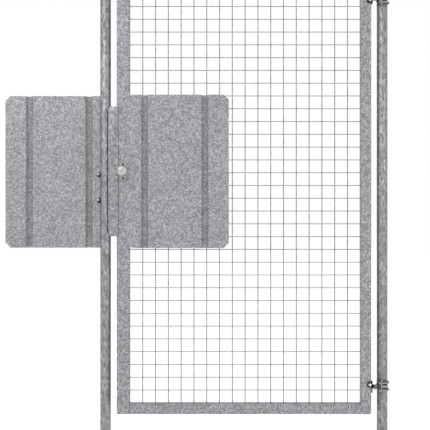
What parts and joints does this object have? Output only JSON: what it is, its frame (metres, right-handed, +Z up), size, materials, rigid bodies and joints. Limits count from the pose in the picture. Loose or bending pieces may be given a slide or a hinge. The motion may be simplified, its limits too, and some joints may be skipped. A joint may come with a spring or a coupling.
{
  "type": "temporary fence gate",
  "caption": "Pedestrian gate for temporary fencing: mesh leaf on clamp hinges between two round posts, with a lock, a knob on each side and ribbed guard plates.",
  "frame": {"origin": "centre of the hinge post's foot, on the ground", "axes": "+Z up, +X from the latch post towards the hinge post, +Y from the outside face, which the leaf opens towards, to the inside"},
  "size_m": [1.506, 0.16, 2.003],
  "materials": {
    "galvanised_steel": "hot-dip galvanised, fine dull spangle",
    "galvanised_wire": "galvanised drawn wire, dull",
    "zinc_plated_hardware": "bright zinc plated",
    "blackened_steel": "dark zinc passivated, half dull",
    "lock_steel": "nickelled pressed steel",
    "satin_alloy": "satin turned and cast alloy",
    "nickelled_brass": "satin nickel plated"
  },
  "bodies": {
    "posts": {"hinge_post": "galvanised_steel", "hinge_post_cap": "galvanised_steel", "latch_post": "galvanised_steel", "latch_post_cap": "galvanised_steel", "post_guard_plate": "galvanised_steel", "keep": "galvanised_steel", "keep_bolts": "zinc_plated_hardware", "lower_hinge_bracket": "galvanised_steel", "lower_clamp_rods": "zinc_plated_hardware", "upper_hinge_bracket": "galvanised_steel", "upper_clamp_rods": "zinc_plated_hardware"},
    "leaf": {"lock_stile": "galvanised_steel", "hinge_stile": "galvanised_steel", "top_rail": "galvanised_steel", "bottom_rail": "galvanised_steel", "mesh_lower": "galvanised_wire", "mesh_middle": "galvanised_wire", "mesh_upper": "galvanised_wire", "leaf_guard_plate": "galvanised_steel", "stop_strip": "galvanised_steel", "lock_case": "lock_steel", "lock_bolts": "lock_steel", "outer_rose": "satin_alloy", "inner_rose": "satin_alloy", "key_cylinder": "nickelled_brass", "lower_hinge_strap": "blackened_steel", "upper_hinge_strap": "blackened_steel", "lower_strap_bolt": "zinc_plated_hardware", "upper_strap_bolt": "zinc_plated_hardware"},
    "knob": {"outer_knob": "satin_alloy", "inner_knob": "satin_alloy", "spindle": "zinc_plated_hardware"}
  },
  "joints": [
    {"name": "leaf_swing", "type": "hinge", "parent": "posts", "child": "leaf", "pos_m": [-0.0305, -0.029, 0.258], "axis": [0, 0, 1], "range_deg": [0, 120]},
    {"name": "knob_turn", "type": "hinge", "parent": "leaf", "child": "knob", "pos_m": [-1.01025, 0, 1.094], "axis": [0, 1, 0], "range_deg": [-45, 45], "stiffness_Nm_per_rad": 0.6}
  ]
}
